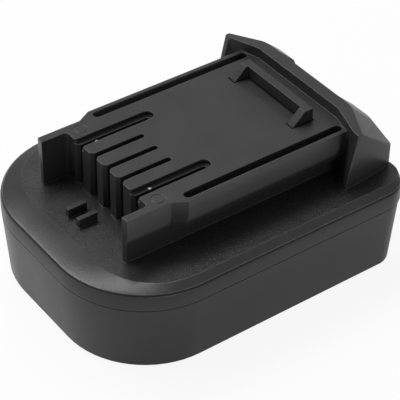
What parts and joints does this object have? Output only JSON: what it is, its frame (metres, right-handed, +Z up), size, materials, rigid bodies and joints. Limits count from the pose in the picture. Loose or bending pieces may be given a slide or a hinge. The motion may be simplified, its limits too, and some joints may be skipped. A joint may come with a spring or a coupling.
{
  "type": "tool battery adapter",
  "caption": "Black slide-on battery adapter for cordless tools, with a rail platform, terminal slots, a sprung latch hook and a battery bay underneath",
  "frame": {"origin": "middle of the footprint, on the surface that the adapter stands on", "axes": "+X to the side, +Y from the terminal end to the latch end, +Z up"},
  "size_m": [0.0776, 0.1006, 0.046],
  "materials": {
    "housing_plastic": "fine moulded grain",
    "latch_plastic": "smooth moulded",
    "insulator_plastic": "smooth moulded",
    "plated_contact": "tin plated sheet",
    "board_laminate": "lacquered",
    "capacitor_sleeve": "shrink sleeve",
    "fuse_body": "ceramic",
    "bus_metal": "bare copper strip",
    "steel": "zinc plated"
  },
  "bodies": {
    "housing": {"top_housing": "housing_plastic", "lower_housing": "housing_plastic", "latch_spring_left": "steel", "latch_spring_right": "steel", "contact_carrier": "insulator_plastic", "power_clip_positive": "plated_contact", "power_clip_negative": "plated_contact", "signal_clip_left": "plated_contact", "signal_clip_middle": "plated_contact", "signal_clip_right": "plated_contact", "circuit_board": "board_laminate", "power_transistor": "insulator_plastic", "capacitor": "capacitor_sleeve", "controller_chip": "insulator_plastic", "fuse": "fuse_body", "bus_bar_positive": "bus_metal", "bus_bar_negative": "bus_metal", "blade_carrier": "insulator_plastic", "power_blade_positive": "plated_contact", "power_blade_negative": "plated_contact", "signal_blade_left": "plated_contact", "signal_blade_middle": "plated_contact", "signal_blade_right": "plated_contact", "housing_screws": "steel", "board_screws": "steel", "carrier_screws": "steel"},
    "latch": {"latch_slider": "latch_plastic", "release_button": "latch_plastic"}
  },
  "joints": [
    {"name": "latch_slide", "type": "slide", "parent": "housing", "child": "latch", "axis": [0, 0, -1], "range_m": [0, 0.0042], "stiffness_N_per_m": 900, "springref_m": -0.003, "deforming": ["latch_spring_left", "latch_spring_right"]}
  ]
}
